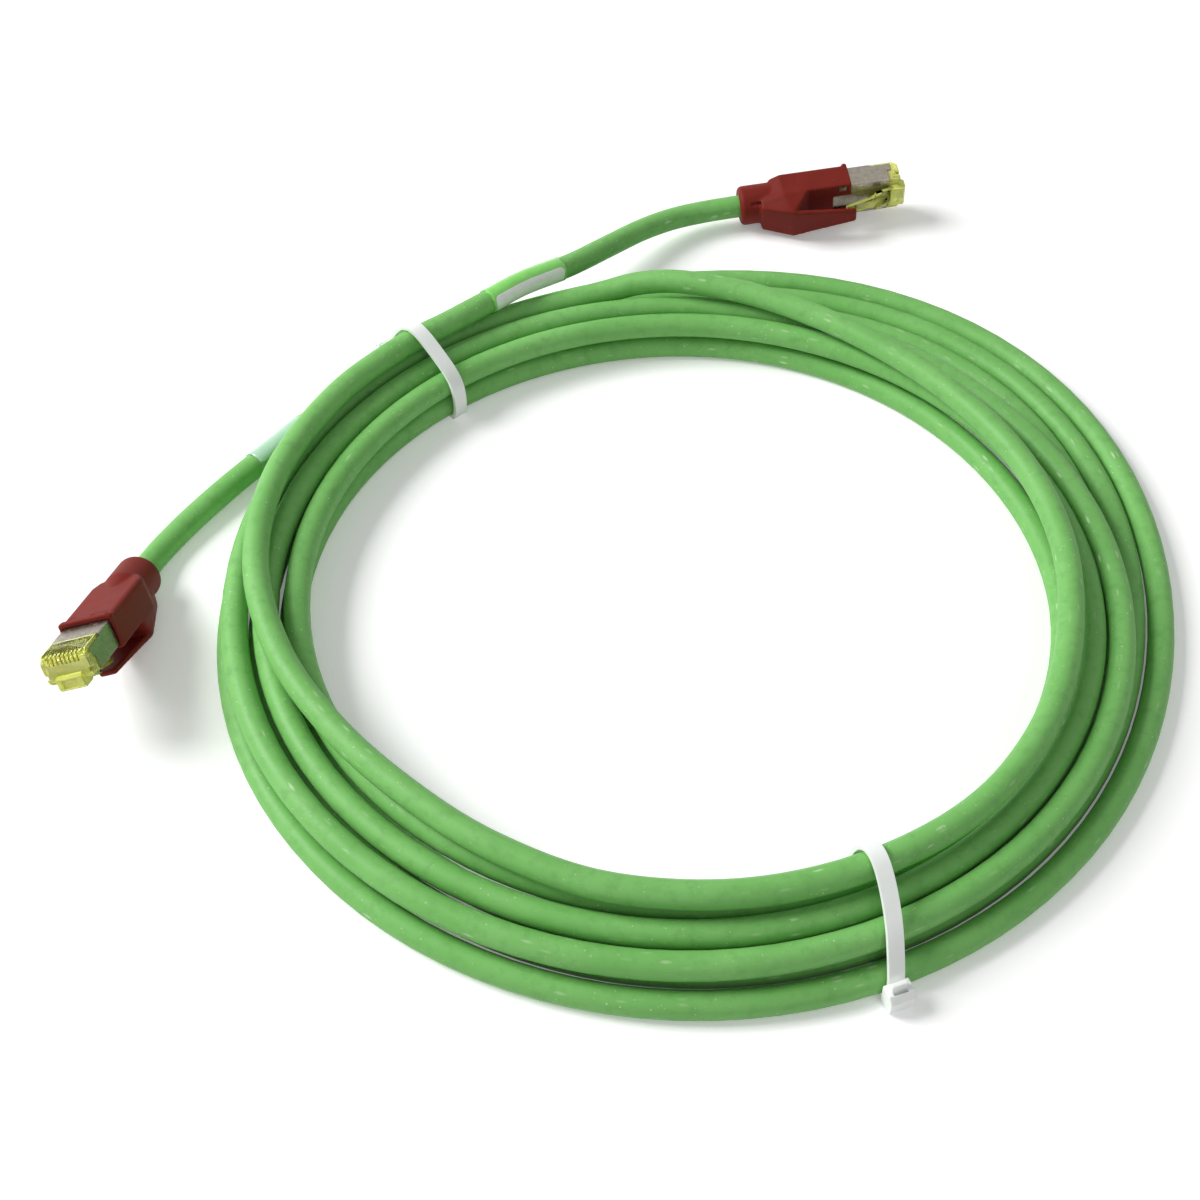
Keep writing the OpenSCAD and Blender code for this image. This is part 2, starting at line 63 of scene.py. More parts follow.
# The turns on the floor fan out: how far, where, how narrowly, over how many turns.
FAN, FAN_ANGLE, FAN_POWER, FAN_TURNS = 14.6, 50, 7, 1.2
# The gaps between turns widen: how much for each turn, where, how narrowly.
SAG, SAG_ANGLE, SAG_POWER = 0.7, 225, 3

# Last turn, on the third level: angle, distance out from COIL_R, distance below THIRD.
THIRD = FLOOR_Z + 2 * PITCH + 0.1
LAST_TURN = [
    (101, 16.4, 5.6), (95, 15.4, 2.6), (88, 12.8, 0.5), (76, 9, 0), (60, 4.6, 0),
    (42, 2.2, 0), (24, 1.9, 0), (6, 1.6, 0), (-12, 1.1, 0), (-30, 2, 0),
    (-48, 2.6, 0), (-66, 1.9, 0), (-84, 1.7, 0), (-102, 1.7, 0), (-118, 0.9, 0),
    (-133, 1, 0), (-149, 3.8, 0), (-165, 8.6, 0), (-181, 13.2, 0), (-197, 15.6, 0),
    (-213, 16, 0), (-226, 15.6, 0), (-235, 15.4, 0), (-242, 17.2, 0), (-248, 21.2, 1.2)]

# The tails: B from the last turn to its plug, A from its plug to the coil.
TAIL_B = [(-15.2, 88.8, 11.6), (-4.4, 99.8, 9.3), (4.2, 108.2, 7.7), (12.8, 114.6, 6.4),
          (21.6, 118.6, 5.7)]
TAIL_A = [(-115, -11.8, 3.7), (-113.8, -8.1, 3), (-112, -4.3, 2.7), (-107.8, 2.6, 2.8),
          (-102.9, 9.5, 3.1), (-97.6, 16.3, 3.5), (-92.6, 22.5, 3.6), (-87.7, 28.6, 3.6),
          (-82.7, 35.1, 3.6)]

# Where each plug lies: the middle of its boot's rear end, then its turn in degrees.
POSE_A = ((-116, -16.2, 5.2), (21, -22.5, -98.5))
POSE_B = ((32, 120.6, 6.25), (-83, -4.5, 7))

# Plug: its frame has X from the boot's rear end to the nose, and Z towards the contacts.
PLUG_W, PLUG_H, PLUG_LEN = 11.68, 6.6, 21.5
SHIELD_T = 0.25
NOSE_LEN, FACE_LEN = 3.3, 7.8       # left bare by the shield: at the sides, on the face
PIN_COUNT, PIN_PITCH, PIN_T, PIN_LEN = 8, 1.02, 0.35, 5.4
LATCH_W, TAB_W, LATCH_T = 6.2, 3.2, 0.9
LATCH_LEN, LATCH_WIDE = 13.4, 4.6   # in all, and of its wide root
LATCH_RISE, BEAD_R = 13, 0.6        # the latch's angle at rest, its hinge bead
GAP = 0.1                           # between pieces that fit together

# Boot: neck, body, the guard over the latch, and the finger that the guard ends in.
NECK_R, NECK_LEN = 5.45, 8.8
BOOT_LEN, BOOT_SIDE, BOOT_WALL = 31.3, 0.8, 0.75
GUARD_DEPTH, GUARD_START, GUARD_PEAK = 10.1, 5.6, 14
GUARD_WIDE, GUARD_NARROW = 4.5, 2.1
FINGER_T, FINGER_OUT = 1.5, 0.6
SLOT_LEN = 5

STRAP_W, STRAP_T, TIE_GAP = 3.6, 1.0, 0.35
HEAD_W, HEAD_H, HEAD_T, STUB = 5.7, 5.8, 4.2, 1.6
REAR_ANGLE, FRONT_ANGLE = 132, 291  # where the ties are on the coil
REAR_STRAY, FRONT_STRAY = -1.5, 4.4
LABEL_T, LABEL_GAP = 0.18, 0.06
LABEL_A_LEN, LABEL_B_LEN = 17, 26
LABEL_A_AT, LABEL_B_AT = 45, 89     # where each begins, from its boot's rear end
PAPER_CORNER = 1.3

# What follows from the sizes above.
NOSE_X = BOOT_LEN + 14.1
BODY_X = NOSE_X - PLUG_LEN
SHIELD_X = BODY_X - 1.4
JACKET_X = 11.5                     # where the cord's jacket ends inside the boot
FLARE_X, CORE_X = NECK_LEN + 1, NECK_LEN + 6    # the neck widens from one to the other
SHOULDER_X = NECK_LEN + 3.2         # where the boot's body gets its full width
BOOT_HALF_W = PLUG_W / 2 + BOOT_SIDE
BOOT_HALF_H = PLUG_H / 2 + BOOT_WALL
BEAD_X = NOSE_X - NOSE_LEN + 0.4
BEAD_Z = -PLUG_H / 2 - 0.85
LUG_LOW = PLUG_H / 2 + 1.65
FINGER_IN = GUARD_DEPTH - FINGER_T
FINGER_X = BOOT_LEN + FINGER_OUT
POCKET_X, GAP_X = GUARD_PEAK + 1.2, GUARD_PEAK + 5
SLOT_W = TAB_W / 2 + 0.9
TAB_HALF = 0.8                      # of the windows that the shield's tabs show in
WINDOW_Y, WINDOW_X = PLUG_W / 2 + GAP - TAB_HALF, BOOT_LEN - 3.6
OVER = 1                            # how far a cut runs on past a surface


# ---- camera ----

def add_camera():
    """Looks down at 50 degrees from 450 mm."""
    reach = 450 * MM
    down = math.radians(50)
    aim = Vector((-7.2, -19.5, 0)) * MM
    camera = bpy.data.objects.new("camera", bpy.data.cameras.new("camera"))
    camera.data.sensor_width = 36
    camera.data.lens = 56.79
    camera.data.clip_start = 0.01
    camera.location = aim + reach * Vector((0, -math.cos(down), math.sin(down)))
    camera.rotation_euler = (math.pi / 2 - down, 0, 0)
    bpy.context.scene.collection.objects.link(camera)
    bpy.context.scene.camera = camera


add_camera()


# ---- the cord's route ----

def ease(x):
    """A smooth step from 0 to 1."""
    x = min(max(x, 0), 1)
    return x * x * (3 - 2 * x)


def cosd(angle):
    return math.cos(math.radians(angle))


def sind(angle):
    return math.sin(math.radians(angle))


def lobe(angle, at, power):
    """1 at one angle and 0 opposite it, narrower with a greater power."""
    return ((1 + cosd(angle - at)) / 2) ** power


COIL_CENTRE = REAR_LEFT - COIL_R * Vector((cosd(START_ANGLE), sind(START_ANGLE)))


def polar(angle, radius, z):
    """A point at an angle and distance from the coil's upright axis."""
    return Vector((COIL_CENTRE.x + radius * cosd(angle),
                   COIL_CENTRE.y + radius * sind(angle), z))


def coil_at(t):
    """The coil's centreline after t turns: in on the floor, up, then out above it."""
    angle = START_ANGLE - 360 * t
    lift = ease((t - TURN_IN) / CLIMB + 0.5)
    u = abs(t - TURN_IN)
    spread = (PITCH + SAG * lobe(angle, SAG_ANGLE, SAG_POWER)) * u
    stray = FAN * lobe(angle, FAN_ANGLE, FAN_POWER) * ease(u / FAN_TURNS) * (1 - lift)
    radius = COIL_R + OVAL * cosd(2 * angle) + spread + stray
    return polar(angle, radius, FLOOR_Z + PITCH * lift)


def coil_dir(t):
    return (coil_at(t + 0.001) - coil_at(t - 0.001)).normalized()


def placement(pose):
    """From a plug's own frame, X towards its nose and Z towards its contacts."""
    place, turn = pose
    angles = Euler([math.radians(a) for a in turn], "XYZ")
    return Matrix.Translation(place) @ angles.to_matrix().to_4x4()


AT_A = placement(POSE_A)
AT_B = placement(POSE_B)


def through(knots, before, after, steps=8):
    """A smooth line through the knots, coming from before and going to after."""
    k = [before, *knots, after]
    line = []
    for a, b, c, d in zip(k, k[1:], k[2:], k[3:]):
        for i in range(steps):
            s = i / steps
            line.append(0.5 * (2 * b + (c - a) * s + (2 * a - 5 * b + 4 * c - d) * s ** 2
                               + (3 * b - a - 3 * c + d) * s ** 3))
    return line + [knots[-1]]


def evenly(line, step):
    """The same line with its points one step apart."""
    points = [line[0]]
    left = step
    for a, b in zip(line, line[1:]):
        span = (b - a).length
        done = 0
        while span - done > left:
            done += left
            points.append(a.lerp(b, done / span))
            left = step
        left -= span - done
    return points + [line[-1]]


def length_of(line):
    """A line's length."""
    return sum((b - a).length for a, b in zip(line, line[1:]))


def cord_route():
    """Tail A, the coil and tail B, from inside one boot to inside the other."""
    coil_first = coil_at(0) - CORD_D * coil_dir(0)
    coil_last = coil_at(TURNS) + CORD_D * coil_dir(TURNS)
    in_a, rear_a = AT_A @ Vector((JACKET_X, 0, 0)), AT_A.translation
    in_b, rear_b = AT_B @ Vector((JACKET_X, 0, 0)), AT_B.translation
    tail_a = through([rear_a, *map(Vector, TAIL_A), coil_first], in_a, coil_at(0))
    per_turn = 96
    coil = [coil_at(i / per_turn) for i in range(round(TURNS * per_turn) + 1)]
    last = [polar(a, COIL_R + out, THIRD - low) for a, out, low in LAST_TURN]
    knots = [coil_last, *last, *map(Vector, TAIL_B), rear_b]
    tail_b = through(knots, coil_at(TURNS), in_b)
    return tail_a, coil, tail_b, [in_a, *tail_a, *coil, *tail_b, in_b]


tail_a_line, coil_line, tail_b_line, whole_line = cord_route()


# ---- building pieces ----

def link(name, data):
    """A new object in the scene."""
    piece = bpy.data.objects.new(name, data)
    bpy.context.scene.collection.objects.link(piece)
    return piece


def settled(piece):
    """The piece with its modifiers applied, as one plain mesh."""
    bpy.context.view_layer.update()
    shape = piece.evaluated_get(bpy.context.evaluated_depsgraph_get())
    mesh = bpy.data.meshes.new_from_object(shape)
    name = piece.name
    bpy.data.objects.remove(piece)
    return link(name, mesh)


def shade_smooth(piece):
    for face in piece.data.polygons:
        face.use_smooth = True


def coat(mesh, finish):
    mesh.materials.clear()
    mesh.materials.append(finish)


def dress(piece, finish, slot, *nodes, body="root"):
    """Gives a finished piece its material and its body, and hides the nodes it stands for."""
    coat(piece.data, finish)
    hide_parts(*nodes)
    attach(piece, body)
    return piece


def sweep(name, line, radius):
    """A round tube along a line in millimetres, with U along it and V round it."""
    curve = bpy.data.curves.new(name, "CURVE")
    curve.dimensions = "3D"
    curve.twist_mode = "Z_UP"
    curve.bevel_depth = radius
    curve.bevel_resolution = 4
    curve.use_fill_caps = True
    spline = curve.splines.new("POLY")
    spline.points.add(len(line) - 1)
    for point, place in zip(spline.points, line):
        point.co = (*place, 1)
    piece = settled(link(name, curve))
    shade_smooth(piece)
    return piece


def to_metres(piece, place=Matrix.Identity(4)):
    """Puts a piece drawn in millimetres where it belongs."""
    piece.data.transform(Matrix.Scale(MM, 4) @ place)
    return piece


def box(bm, x, y, z):
    """Adds a box between a pair of limits on each axis."""
    middle = [(a + b) / 2 for a, b in (x, y, z)]
    size = [b - a for a, b in (x, y, z)]
    where = Matrix.LocRotScale(Vector(middle), None, Vector(size))
    bmesh.ops.create_cube(bm, size=1, matrix=where)


def rod(bm, x0, x1, r0, r1=None):
    """Adds a round rod, or a cone, along X."""
    where = Matrix.Translation(((x0 + x1) / 2, 0, 0)) @ Matrix.Rotation(math.pi / 2, 4, "Y")
    bmesh.ops.create_cone(bm, cap_ends=True, segments=48, radius1=r0,
                          radius2=r0 if r1 is None else r1, depth=x1 - x0, matrix=where)


def pin(bm, centre, half, radius, axis="Y"):
    """Adds a round pin along Y or Z, as long as half to each side."""
    turn = Matrix.Rotation(math.pi / 2, 4, "X") if axis == "Y" else Matrix.Identity(4)
    bmesh.ops.create_cone(bm, cap_ends=True, segments=32, radius1=radius,
                          radius2=radius, depth=2 * half,
                          matrix=Matrix.Translation(centre) @ turn)


def moved_on(bm, drawn, rise):
    """Moves the corners that an extrusion made by the vector rise; returns them."""
    far = [v for v in drawn["geom"] if isinstance(v, bmesh.types.BMVert)]
    bmesh.ops.translate(bm, vec=rise, verts=far)
    return far


def prism(bm, outline, rise):
    """Adds a flat outline drawn out by the vector rise; returns its far corners."""
    face = bm.faces.new([bm.verts.new(p) for p in outline])
    return moved_on(bm, bmesh.ops.extrude_face_region(bm, geom=[face]), rise)


def closed_loop(bm, points):
    """Adds a closed loop of edges; returns its corners and edges."""
    verts = [bm.verts.new(p) for p in points]
    return verts, [bm.edges.new(ends) for ends in zip(verts, verts[1:] + verts[:1])]


def loft(bm, rings):
    """Adds a closed solid through rings of points, all with the same count."""
    loops = []
    for ring in rings:
        verts, edges = closed_loop(bm, ring)
        loops.append(edges)
        if ring in (rings[0], rings[-1]):
            bm.faces.new(verts)
    for a, b in zip(loops, loops[1:]):
        bmesh.ops.bridge_loops(bm, edges=a + b)


def solid(name, *fills):
    """An object of closed solids, one for each call in fills."""
    bm = bmesh.new()
    for fill in fills:
        fill(bm)
    bmesh.ops.recalc_face_normals(bm, faces=bm.faces)
    mesh = bpy.data.meshes.new(name)
    bm.to_mesh(mesh)
    bm.free()
    return link(name, mesh)


def combine(piece, other, operation):
    """Joins another solid to a piece, or cuts it out."""
    step = piece.modifiers.new(operation.lower(), "BOOLEAN")
    step.operation = operation
    step.solver = "EXACT"
    step.use_self = True
    step.object = other
    piece = settled(piece)
    bpy.data.objects.remove(other)
    return piece


def moulded(piece, voxel, passes):
    """Makes overlapping solids one soft-edged moulding."""
    skin = piece.modifiers.new("skin", "REMESH")
    skin.mode = "VOXEL"
    skin.voxel_size = voxel
    soften = piece.modifiers.new("soften", "SMOOTH")
    soften.iterations = passes
    piece = settled(piece)
    shade_smooth(piece)
    return piece


def crisp(piece, width, segments=2):
    """Rounds a piece's edges by a small, even width."""
    edge = piece.modifiers.new("edge", "BEVEL")
    edge.width = width
    edge.segments = segments
    edge.limit_method = "ANGLE"
    edge.angle_limit = math.radians(35)
    even = piece.modifiers.new("even", "WEIGHTED_NORMAL")
    even.weight = 100
    shade_smooth(piece)
    return settled(piece)


# ---- materials ----

def group(name, inputs, outputs, build):
    """A shader node group; inputs and outputs are (name, kind, value) rows."""
    tree = bpy.data.node_groups.new(name, "ShaderNodeTree")
    for label, kind, value in inputs:
        entry = tree.interface.new_socket(label, in_out="INPUT", socket_type=kind)
        if value is not None:
            entry.default_value = value
    for label, kind in outputs:
        tree.interface.new_socket(label, in_out="OUTPUT", socket_type=kind)
    build(tree, tree.nodes.new("NodeGroupInput"), tree.nodes.new("NodeGroupOutput"))
    return tree


def feed(tree, socket, value):
    """Links an output to a socket, or gives the socket a value of its own."""
    if isinstance(value, bpy.types.NodeSocket):
        tree.links.new(value, socket)
    elif socket.type == "RGBA":
        socket.default_value = (*value, 1)
    else:
        socket.default_value = value


def node(tree, kind, inputs=None, **settings):
    """Adds a node; inputs maps a socket's name or place to a value or an output."""
    made = tree.nodes.new("ShaderNode" + kind)
    for key, value in settings.items():
        setattr(made, key, value)
    for key, value in (inputs or {}).items():
        feed(tree, made.inputs[key], value)
    return made


def ramp(tree, value, low, high):
    """A mask that rises from 0 at low to 1 at high."""
    made = node(tree, "MapRange", {"Value": value, "From Min": low, "From Max": high})
    made.clamp = True
    return made.outputs["Result"]


def build_grain(tree, source, sink):
    """Fine bumps."""
    noise = node(tree, "TexNoise", {"Vector": source.outputs["Vector"],
                                    "Scale": source.outputs["Scale"], "Detail": 3.0})
    bump = node(tree, "Bump", {"Height": noise.outputs["Fac"],
                               "Strength": source.outputs["Strength"],
                               "Distance": source.outputs["Depth"],
                               "Normal": source.outputs["Normal"]})
    tree.links.new(bump.outputs["Normal"], sink.inputs["Normal"])


def build_patches(tree, source, sink):
    """A mask of soft, cloudy patches."""
    noise = node(tree, "TexNoise", {"Vector": source.outputs["Vector"],
                                    "Scale": source.outputs["Scale"], "Detail": 4.0,
                                    "Roughness": 0.6})
    mask = ramp(tree, noise.outputs["Fac"], source.outputs["From"], source.outputs["To"])
    tree.links.new(mask, sink.inputs["Mask"])


def build_flecks(tree, source, sink):
    """A mask of small spots, few and only in some areas."""
    cells = node(tree, "TexVoronoi", {"Vector": source.outputs["Vector"],
                                      "Scale": source.outputs["Scale"]})
    spot = ramp(tree, cells.outputs["Distance"], source.outputs["Size"], 0.0)
    shade = node(tree, "SeparateColor", {"Color": cells.outputs["Color"]})
    rare = ramp(tree, shade.outputs["Red"], source.outputs["Rare"], 1.0)
    where = node(tree, "TexNoise", {"Vector": source.outputs["Vector"],
                                    "Scale": source.outputs["Spread"]})
    area = ramp(tree, where.outputs["Fac"], 0.42, 0.6)
    both = node(tree, "Math", {0: spot, 1: rare}, operation="MULTIPLY")
    mask = node(tree, "Math", {0: both.outputs[0], 1: area}, operation="MULTIPLY")
    tree.links.new(mask.outputs[0], sink.inputs["Mask"])


FLOAT, VECTOR = "NodeSocketFloat", "NodeSocketVector"
GRAIN = group("fine grain", [("Vector", VECTOR, None), ("Scale", FLOAT, 1000.0),
                             ("Strength", FLOAT, 0.2), ("Depth", FLOAT, 0.0001),
                             ("Normal", VECTOR, None)],
              [("Normal", VECTOR)], build_grain)
PATCHES = group("soft patches", [("Vector", VECTOR, None), ("Scale", FLOAT, 60.0),
                                 ("From", FLOAT, 0.45), ("To", FLOAT, 0.7)],
                [("Mask", FLOAT)], build_patches)
FLECKS = group("flecks", [("Vector", VECTOR, None), ("Scale", FLOAT, 400.0),
                          ("Size", FLOAT, 0.3), ("Rare", FLOAT, 0.9),
                          ("Spread", FLOAT, 40.0)],
               [("Mask", FLOAT)], build_flecks)


def use(tree, made, **inputs):
    """Places a node group in a material."""
    holder = node(tree, "Group", node_tree=made)
    for label, value in inputs.items():
        feed(tree, holder.inputs[label], value)
    return holder.outputs[0]


# Where a Mix node set to colours has its factor, its two colours and its result.
MIX_FACTOR, MIX_A, MIX_B, MIX_RESULT = 0, 6, 7, 2


def mixed(tree, mask, a, b):
    """A colour between a and b by the mask."""
    made = node(tree, "Mix", {MIX_FACTOR: mask, MIX_A: a, MIX_B: b}, data_type="RGBA")
    return made.outputs[MIX_RESULT]


def colour(red, green, blue):
    """A colour written as it shows on a screen, 0 to 255, made linear."""
    return tuple(c / 255 / 12.92 if c < 10.3 else ((c / 255 + 0.055) / 1.055) ** 2.4
                 for c in (red, green, blue))


def material(name, **values):
    """A Principled material; returns it with its tree and shader."""
    made = bpy.data.materials.new(name)
    made.use_nodes = True
    tree = made.node_tree
    shader = tree.nodes["Principled BSDF"]
    for label, value in values.items():
        feed(tree, shader.inputs[label.replace("_", " ")], value)
    return made, tree, shader


def object_coords(tree):
    return node(tree, "TexCoord").outputs["Object"]


def roughen(tree, shader, mask, low, high):
    """Lets the roughness go from low to high by the mask."""
    span = node(tree, "MapRange", {"Value": mask, "To Min": low, "To Max": high})
    tree.links.new(span.outputs["Result"], shader.inputs["Roughness"])


def along_cord(tree, length):
    """The UV map in metres: along the cord, then round it."""
    uv = node(tree, "TexCoord").outputs["UV"]
    size = (length, math.pi * CORD_D * MM, 1)
    return node(tree, "Mapping", {"Vector": uv, "Scale": size}).outputs["Vector"]


def jacket_material(length):
    """Green jacket with soft tones, grime, and pale scuffs and nicks along the cord."""
    made, tree, shader = material("cord jacket", Roughness=0.54, Specular_IOR_Level=0.36)
    surface = along_cord(tree, length)
    place = object_coords(tree)
    tone = use(tree, PATCHES, Vector=place, Scale=45.0, From=0.35, To=0.7)
    grime = use(tree, PATCHES, Vector=place, Scale=330.0, From=0.5, To=0.85)
    long = node(tree, "Mapping", {"Vector": surface, "Scale": (0.28, 1.0, 1.0)})
    scuff = use(tree, FLECKS, Vector=long.outputs["Vector"], Scale=900.0, Size=0.42,
                Rare=0.86, Spread=60.0)
    nick = use(tree, FLECKS, Vector=surface, Scale=1500.0, Size=0.4, Rare=0.9, Spread=110.0)
    base = mixed(tree, tone, colour(112, 179, 91), colour(125, 189, 104))
    worn = mixed(tree, grime, base, colour(100, 162, 82))
    white = node(tree, "Math", {0: scuff, 1: nick}, operation="MAXIMUM").outputs[0]
    pale = node(tree, "Math", {0: white, 1: 0.85}, operation="MULTIPLY").outputs[0]
    tree.links.new(mixed(tree, pale, worn, colour(224, 240, 204)), shader.inputs["Base Color"])
    roughen(tree, shader, tone, 0.48, 0.6)
    twist = node(tree, "Mapping", {"Vector": surface, "Rotation": (0, 0, 0.5)})
    lay = use(tree, GRAIN, Vector=twist.outputs["Vector"], Scale=130.0, Strength=0.35,
              Depth=0.0006)
    fine = use(tree, GRAIN, Vector=surface, Scale=2600.0, Strength=0.16, Depth=0.00012,
               Normal=lay)
    tree.links.new(fine, shader.inputs["Normal"])
    return made


def boot_material():
    """Dull red moulding with dust in its grain."""
    made, tree, shader = material("boot", Specular_IOR_Level=0.14)
    place = object_coords(tree)
    tone = use(tree, PATCHES, Vector=place, Scale=160.0, From=0.3, To=0.75)
    dust = use(tree, FLECKS, Vector=place, Scale=1500.0, Size=0.3, Rare=0.93, Spread=150.0)
    base = mixed(tree, tone, colour(108, 27, 19), colour(122, 37, 28))
    tree.links.new(mixed(tree, dust, base, colour(166, 96, 82)), shader.inputs["Base Color"])
    roughen(tree, shader, tone, 0.48, 0.62)
    skin = use(tree, GRAIN, Vector=place, Scale=3500.0, Strength=0.25, Depth=0.0001)
    tree.links.new(skin, shader.inputs["Normal"])
    return made


def clear_material(name, pale, deep, through):
    """Clear or milky plastic, with faint flow marks in it."""
    made, tree, shader = material(name, Roughness=0.12, IOR=1.46,
                                  Transmission_Weight=through)
    place = object_coords(tree)
    flow = use(tree, PATCHES, Vector=place, Scale=350.0, From=0.35, To=0.7)
    tree.links.new(mixed(tree, flow, pale, deep), shader.inputs["Base Color"])
    roughen(tree, shader, flow, 0.07, 0.16)
    skin = use(tree, GRAIN, Vector=place, Scale=900.0, Strength=0.12, Depth=0.0001)
    tree.links.new(skin, shader.inputs["Normal"])
    return made


def metal_material(name, bright, dull, smooth, rough):
    """Metal with duller, rougher patches."""
    made, tree, shader = material(name, Metallic=1.0)
    place = object_coords(tree)
    worn = use(tree, PATCHES, Vector=place, Scale=900.0, From=0.35, To=0.72)
    tree.links.new(mixed(tree, worn, bright, dull), shader.inputs["Base Color"])
    roughen(tree, shader, worn, smooth, rough)
    skin = use(tree, GRAIN, Vector=place, Scale=2500.0, Strength=0.08, Depth=0.0001)
    tree.links.new(skin, shader.inputs["Normal"])
    return made


def tie_material():
    """White nylon that lets a little light in."""
    made, tree, shader = material("tie nylon", Roughness=0.33, IOR=1.53,
                                  Subsurface_Weight=0.2, Subsurface_Scale=0.002,
                                  Subsurface_Radius=(1.0, 1.0, 0.9))
    place = object_coords(tree)
    cloud = use(tree, PATCHES, Vector=place, Scale=260.0, From=0.3, To=0.75)
    tree.links.new(mixed(tree, cloud, colour(244, 250, 245), colour(252, 254, 252)),
                   shader.inputs["Base Color"])
    skin = use(tree, GRAIN, Vector=place, Scale=1400.0, Strength=0.2, Depth=0.00012)
    tree.links.new(skin, shader.inputs["Normal"])
    return made


def label_material(name, paper, film, length, edges, margin):
    """Bare paper with round corners under glossy film; edges are shares of the way round."""
    made, tree, shader = material(name, Roughness=0.2, Coat_Weight=0.3)
    uv = node(tree, "TexCoord").outputs["UV"]
    round_it = math.pi * (CORD_D + 2 * (LABEL_GAP + LABEL_T))
    middle = (edges[0] + edges[1]) / 2 * round_it
    half = Vector((length / 2 - margin - PAPER_CORNER,
                   (edges[1] - edges[0]) / 2 * round_it - PAPER_CORNER, 1))
    flat = node(tree, "Mapping", {
        "Vector": uv, "Scale": (length, round_it, 0),
        "Location": (-length / 2, -middle, 0)})
    away = node(tree, "VectorMath", {0: flat.outputs["Vector"]}, operation="ABSOLUTE")
    past = node(tree, "VectorMath", {0: away.outputs["Vector"], 1: half},
                operation="SUBTRACT")
    beyond = node(tree, "VectorMath", {0: past.outputs["Vector"], 1: (0, 0, 0)},
                  operation="MAXIMUM")
    far = node(tree, "VectorMath", {0: beyond.outputs["Vector"]}, operation="LENGTH")
    soft_edge = 0.12
    inside = ramp(tree, far.outputs["Value"], PAPER_CORNER + soft_edge, PAPER_CORNER)
    place = object_coords(tree)
    rub = use(tree, PATCHES, Vector=place, Scale=420.0, From=0.4, To=0.8)
    card = mixed(tree, rub, paper, tuple(0.9 * c for c in paper))
    skin = mixed(tree, rub, film, tuple(0.88 * c for c in film))
    tree.links.new(mixed(tree, inside, skin, card), shader.inputs["Base Color"])
    roughen(tree, shader, rub, 0.14, 0.3)
    wave = use(tree, GRAIN, Vector=place, Scale=300.0, Strength=0.3, Depth=0.0002)
    tree.links.new(wave, shader.inputs["Normal"])
    return made


def wire_material(name, shade):
    """Coloured wire insulation."""
    made, tree, shader = material(name, Roughness=0.4)
    place = object_coords(tree)
    tone = use(tree, PATCHES, Vector=place, Scale=700.0, From=0.3, To=0.7)
    tree.links.new(mixed(tree, tone, shade, tuple(0.8 * c for c in shade)),
                   shader.inputs["Base Color"])
    return made


# ---- the cord ----

def add_cord():
    """Returns the cord, its path and its length, both in metres."""
    line = evenly(whole_line, CORD_STEP)
    cord = sweep("cord", line, CORD_R)
    for v in cord.data.vertices:
        v.co.z = max(v.co.z, 0)         # flat where it lies on the floor
    to_metres(cord)
    length = MM * length_of(line)
    dress(cord, jacket_material(length), "jacket", "cord_coil", "cord_tail_a", "cord_tail_b")
    return cord, [p * MM for p in line], length


cord, cord_path, cord_length = add_cord()


# ---- boots ----

def boot_shell(bm):
    """Neck and body, a little longer than they end up at the lip."""
    w, h = BOOT_HALF_W, BOOT_HALF_H
    chamfer, corner, past_lip = 0.8, 1.4, BOOT_LEN + 2
    rod(bm, chamfer, FLARE_X, NECK_R)
    rod(bm, 0, chamfer, NECK_R - chamfer, NECK_R)
    rod(bm, FLARE_X, CORE_X, NECK_R, h - 0.2)
    outline = [(NECK_LEN, -w + corner), (SHOULDER_X, -w), (past_lip, -w),
               (past_lip, w), (SHOULDER_X, w), (NECK_LEN, w - corner)]
    far = prism(bm, [(x, y, -h) for x, y in outline], (0, 0, 2 * h))
    rounded = [e for e in bm.edges if e.verts[0] in far and e.verts[1] in far
               and min(e.verts[0].co.x, e.verts[1].co.x) < BOOT_LEN]
    bmesh.ops.bevel(bm, geom=rounded, offset=1.1, segments=3, profile=0.5, affect="EDGES",
                    material=-1)


def boot_guard(bm):
    """The hood over the latch, whose flanks run out into the body's sides."""
    w, inside = BOOT_HALF_W, -2.5
    slope = (GAP_X - POCKET_X) / (FINGER_IN - BOOT_HALF_H)

    def section(x, wide, narrow, low, lean=0.0):
        """Wide where it meets the body, narrow at its lowest; lean tilts it along X."""
        def at(y, z):
            return (x + lean * (z + FINGER_IN), y, z)
        return [at(-wide, inside), at(wide, inside), at(wide, -BOOT_HALF_H),
                at(narrow, low), at(-narrow, low), at(-wide, -BOOT_HALF_H)]

    def finger(x, half, low):
        return [(x, -half, -FINGER_IN), (x, half, -FINGER_IN), (x, half, low),
                (x, -half, low)]

    loft(bm, [section(GUARD_START, GUARD_WIDE, 4.1, -NECK_R - 0.8),
              section(SHOULDER_X, w, 4.4, -9.15),
              section(GUARD_PEAK, w, GUARD_WIDE, -GUARD_DEPTH),
              section(POCKET_X, w, GUARD_WIDE, -GUARD_DEPTH + 0.05, lean=slope)])
    loft(bm, [finger(GUARD_PEAK, GUARD_WIDE, -GUARD_DEPTH),
              finger(FINGER_X - 0.5, GUARD_NARROW, -GUARD_DEPTH + 0.1),
              finger(FINGER_X, GUARD_NARROW, -GUARD_DEPTH + 0.6)])


def boot_rim(bm):
    """The bead across the lip on the contact side, with a ball at each end."""
    bead, ball = 0.75, 0.8
    x, y, z = BOOT_LEN - bead, BOOT_HALF_W - 0.6, BOOT_HALF_H - 0.3
    pin(bm, (x, 0, BOOT_HALF_H), BOOT_HALF_W - 0.9, bead)
    for side in (-1, 1):
        bmesh.ops.create_uvsphere(bm, u_segments=24, v_segments=16, radius=ball,
                                  matrix=Matrix.Translation((x, side * y, z)))


